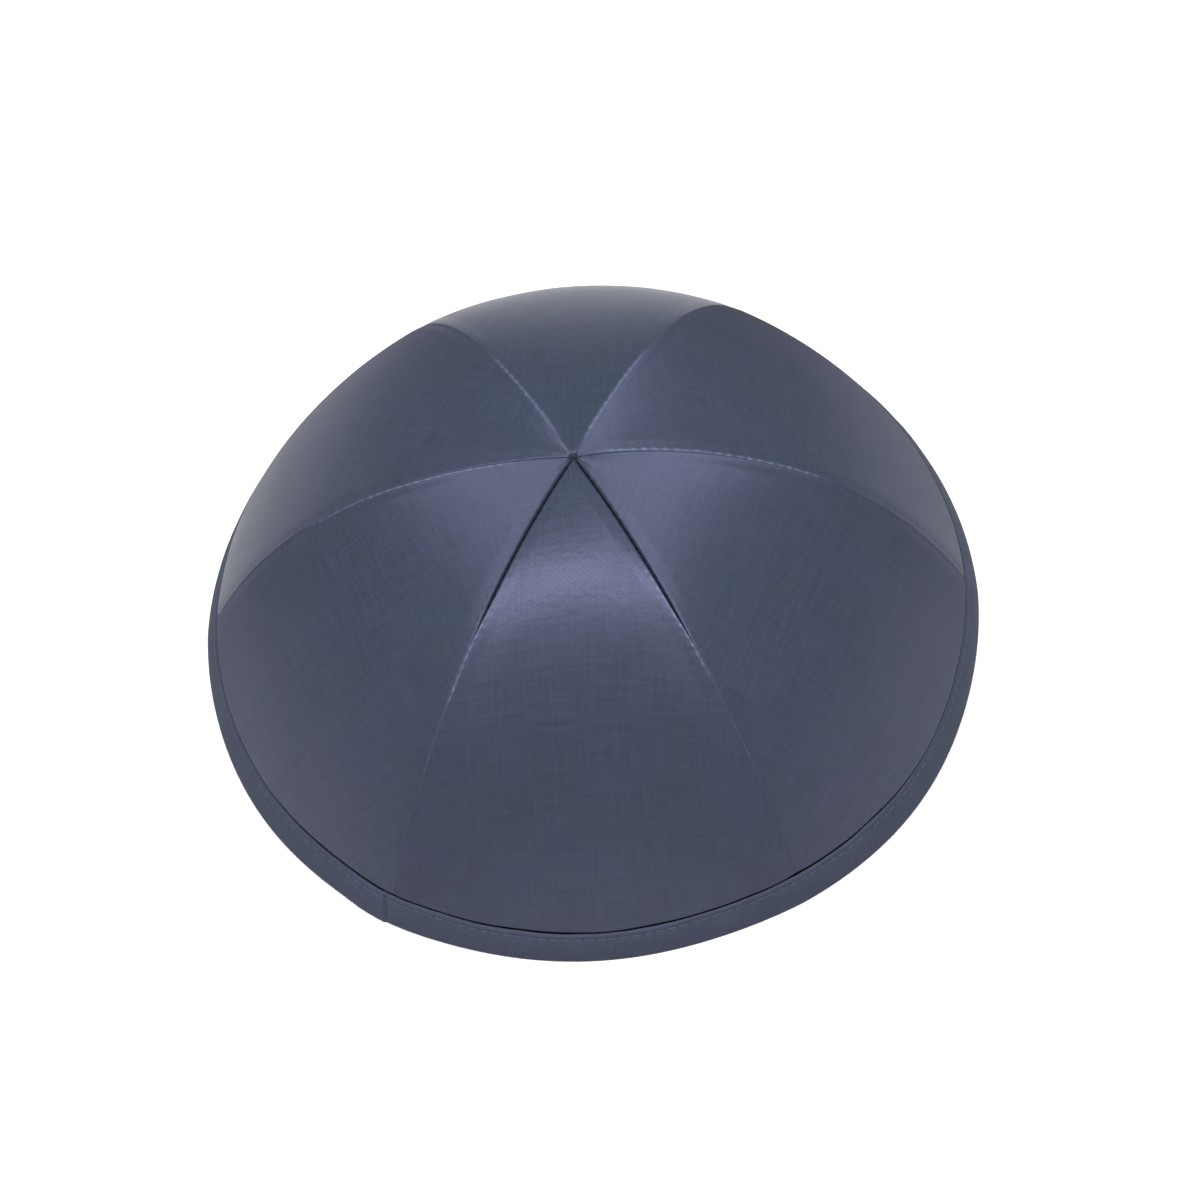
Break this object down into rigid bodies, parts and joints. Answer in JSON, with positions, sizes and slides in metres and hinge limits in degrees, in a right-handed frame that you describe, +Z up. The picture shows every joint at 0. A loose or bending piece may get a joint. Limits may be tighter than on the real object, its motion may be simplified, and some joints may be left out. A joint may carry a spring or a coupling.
{
  "type": "kippah",
  "caption": "Domed cloth skullcap of sewn satin gores, with a folded tape binding round its rim. It is open underneath for the wearer's head.",
  "frame": {"origin": "centre of the rim, on the surface that the cap rests on", "axes": "+Z up through the top of the crown, -Y towards the front gore, +X to the right as seen from the front"},
  "size_m": [0.1647, 0.1639, 0.0607],
  "materials": {
    "satin": "navy-blue satin weave, soft sheen",
    "binding": "navy-blue bias tape, soft sheen"
  },
  "bodies": {
    "root": {"panel_front": "satin", "panel_front_right": "satin", "panel_back_right": "satin", "panel_back": "satin", "panel_back_left": "satin", "panel_front_left": "satin", "rim_binding": "binding"}
  },
  "joints": []
}
